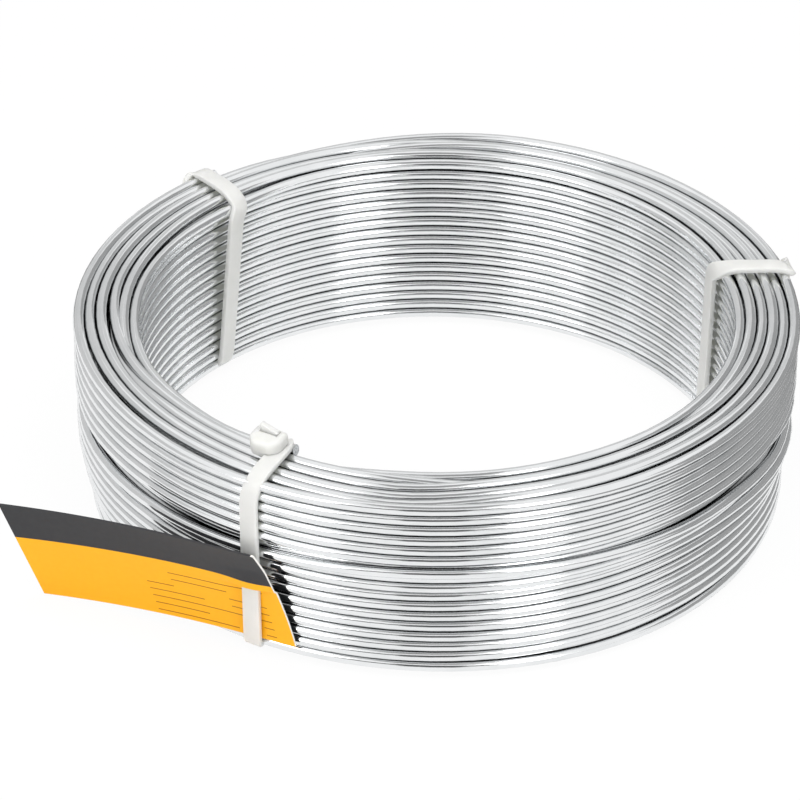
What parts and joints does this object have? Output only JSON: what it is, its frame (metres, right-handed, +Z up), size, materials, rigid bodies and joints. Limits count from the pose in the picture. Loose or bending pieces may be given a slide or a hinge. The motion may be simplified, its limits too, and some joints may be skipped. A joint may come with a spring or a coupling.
{
  "type": "tied coil of galvanised steel wire",
  "caption": "Coil of galvanised steel wire wound in regular layers, held by nylon cable ties, with a plain card tag; lies flat and feeds from its open bore.",
  "frame": {"origin": "on the coil's axis, at the level of the undersides of its ties, where it stands", "axes": "+Z up along the coil's axis, -Y towards the picture's viewer, +X to the right"},
  "size_m": [0.1526, 0.1364, 0.0445],
  "materials": {
    "galvanised_wire": "bright hot-dip zinc on drawn steel wire, smooth, with long streaks along the wire",
    "nylon_tie": "natural nylon, milky and slightly translucent, moulded",
    "tag_card": "printed card, satin, orange with a dark grey band and a white cut edge"
  },
  "bodies": {
    "root": {"wire_coil": "galvanised_wire", "tie_front": "nylon_tie", "tie_left": "nylon_tie", "tie_right": "nylon_tie", "tag": "tag_card"}
  },
  "joints": []
}
